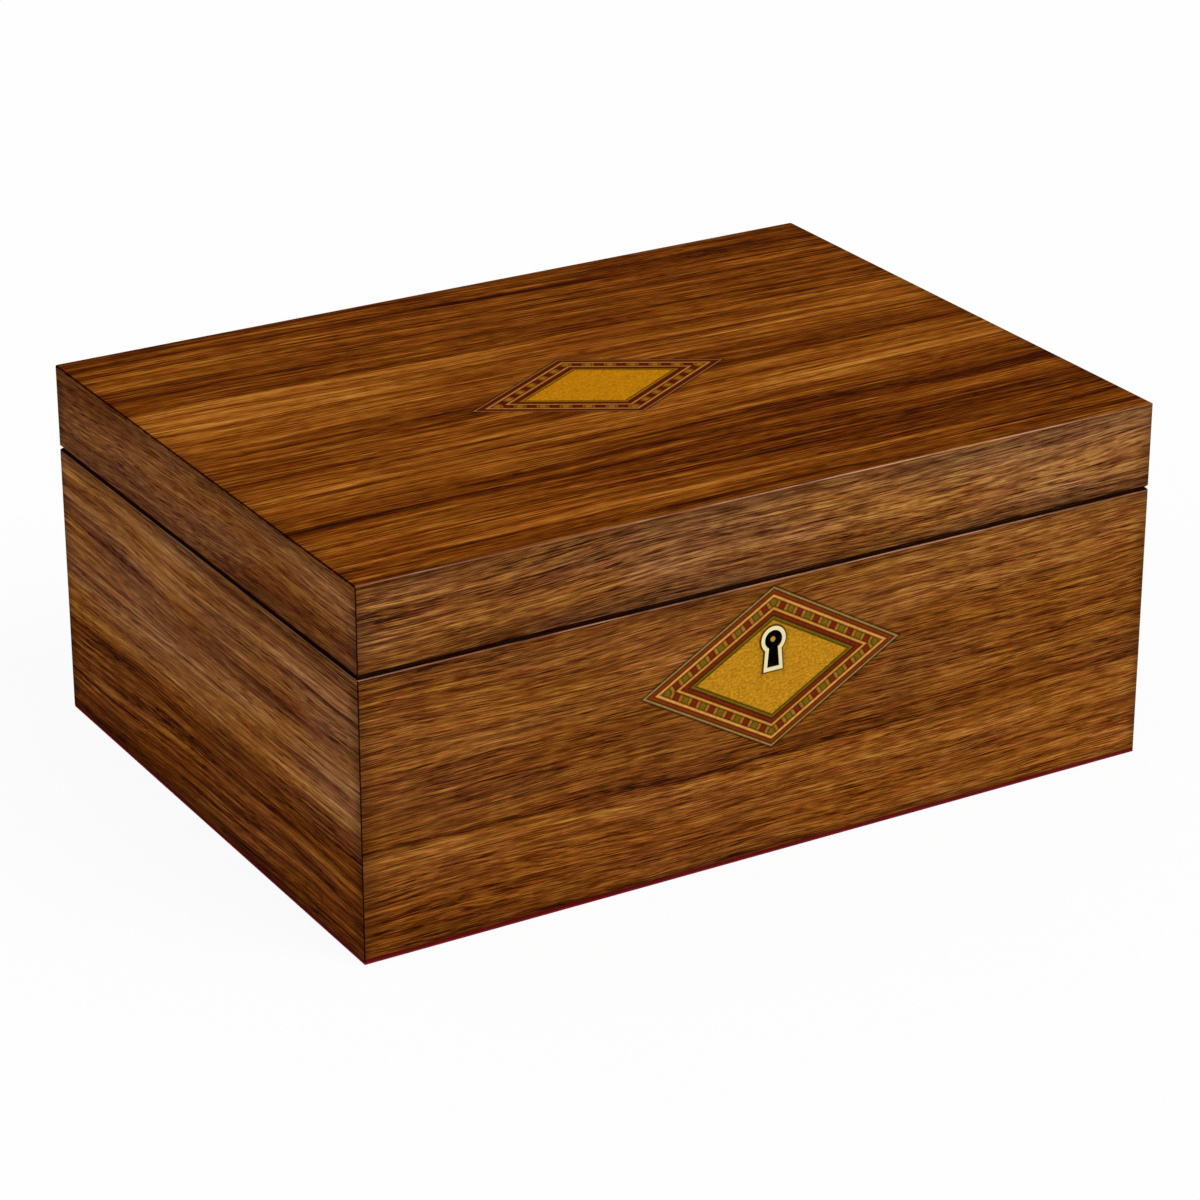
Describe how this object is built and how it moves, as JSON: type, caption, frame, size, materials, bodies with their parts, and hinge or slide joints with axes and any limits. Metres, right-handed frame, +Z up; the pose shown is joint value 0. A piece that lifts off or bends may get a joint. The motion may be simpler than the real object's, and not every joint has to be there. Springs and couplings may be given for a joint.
{
  "type": "musical jewelry box",
  "caption": "Rectangular walnut box with a hinged lid, diamond inlays, a keyhole lock, a sliding velvet tray and a wind-up music movement.",
  "frame": {"origin": "centre of the felt underside, on the surface that the box stands on", "axes": "+X to the right seen from the front, +Y to the hinged back, +Z up"},
  "size_m": [0.292, 0.2189, 0.1253],
  "materials": {
    "felt": "burgundy wool felt",
    "walnut": "satin varnished walnut veneer",
    "board": "plain varnished board",
    "velvet": "burgundy velvet",
    "inlay_gold_field": "dyed burr veneer, varnished",
    "inlay_green": "dyed veneer, varnished",
    "inlay_red": "dyed veneer, varnished",
    "inlay_gold": "dyed veneer, varnished",
    "inlay_light": "pale veneer, varnished",
    "brass": "polished brass",
    "steel": "hardened steel",
    "brass_screw": "brass screws",
    "mirror": "silvered glass",
    "glass": "clear pane"
  },
  "bodies": {
    "case": {"base_felt": "felt", "case_bottom": "board", "case_front": "walnut", "case_back": "walnut", "case_left": "walnut", "case_right": "walnut", "case_lining": "velvet", "long_partition": "velvet", "cross_partitions": "velvet", "floor_pads": "velvet", "tray_runners": "walnut", "glass_ledges": "walnut", "movement_glass": "glass", "keyhole_lining": "brass", "lock_case": "brass", "lock_drill_pin": "brass", "hinge_case_leaves": "brass", "hinge_pins": "steel", "case_screws": "brass_screw", "movement_plate": "brass", "movement_posts": "brass", "movement_screws": "steel", "tone_comb": "steel", "comb_screws": "steel", "stop_guide": "walnut", "front_inlay_field": "inlay_gold_field", "front_inlay_green": "inlay_green", "front_inlay_red": "inlay_red", "front_inlay_gold": "inlay_gold", "front_inlay_light": "inlay_light"},
    "lid": {"lid_screws": "brass_screw", "lid_front": "walnut", "lid_back": "walnut", "lid_left": "walnut", "lid_right": "walnut", "lid_board": "board", "lid_veneer": "walnut", "lid_lining": "velvet", "lid_inlay_field": "inlay_gold_field", "lid_inlay_green": "inlay_green", "lid_inlay_red": "inlay_red", "lid_inlay_gold": "inlay_gold", "lid_inlay_light": "inlay_light", "mirror": "mirror", "mirror_frame": "walnut", "hinge_lid_leaves": "brass", "strike_plate": "brass"},
    "tray": {"tray_walls": "velvet", "tray_dividers": "velvet", "tray_floor": "board", "tray_pads": "velvet", "ring_rolls": "velvet"},
    "bolt": {"lock_bolt": "steel"},
    "drum": {"pin_drum": "brass"},
    "barrel": {"spring_barrel": "steel", "mainspring": "steel"},
    "train": {"train_wheel": "brass"},
    "brake": {"air_brake": "steel"},
    "key": {"winding_key": "steel"},
    "stopper": {"stop_rod": "brass"}
  },
  "joints": [
    {"name": "lid_hinge", "type": "hinge", "parent": "case", "child": "lid", "pos_m": [0, 0.109, 0.09595], "axis": [-1, 0, 0], "range_deg": [0, 95]},
    {"name": "tray_slide", "type": "slide", "parent": "case", "child": "tray", "axis": [-1, 0, 0], "range_m": [0, 0.12]},
    {"name": "bolt_slide", "type": "slide", "parent": "case", "child": "bolt", "axis": [1, 0, 0], "range_m": [0, 0.0045]},
    {"name": "drum_spin", "type": "hinge", "parent": "case", "child": "drum", "pos_m": [-0.0845, 0.065, 0.0253], "axis": [1, 0, 0], "continuous": true},
    {"name": "barrel_spin", "type": "hinge", "parent": "case", "child": "barrel", "pos_m": [-0.113, 0.065, 0.016], "axis": [0, 0, 1], "continuous": true},
    {"name": "train_spin", "type": "hinge", "parent": "case", "child": "train", "pos_m": [-0.069, 0.07597, 0.0193], "axis": [1, 0, 0], "continuous": true},
    {"name": "brake_spin", "type": "hinge", "parent": "case", "child": "brake", "pos_m": [-0.0669, 0.08317, 0.0193], "axis": [0, 0, 1], "continuous": true},
    {"name": "key_turn", "type": "hinge", "parent": "case", "child": "key", "pos_m": [-0.113, 0.065, 0.005], "axis": [0, 0, 1], "continuous": true},
    {"name": "stop_lift", "type": "slide", "parent": "case", "child": "stopper", "axis": [0, 0, 1], "range_m": [0, 0.004]}
  ],
  "couplings": [
    {"joint": "barrel_spin", "follows": "drum_spin", "ratio": 0.35714},
    {"joint": "train_spin", "follows": "drum_spin", "ratio": -4},
    {"joint": "brake_spin", "follows": "drum_spin", "ratio": 72},
    {"joint": "stop_lift", "follows": "lid_hinge", "m_per_rad": 0.0024122}
  ]
}
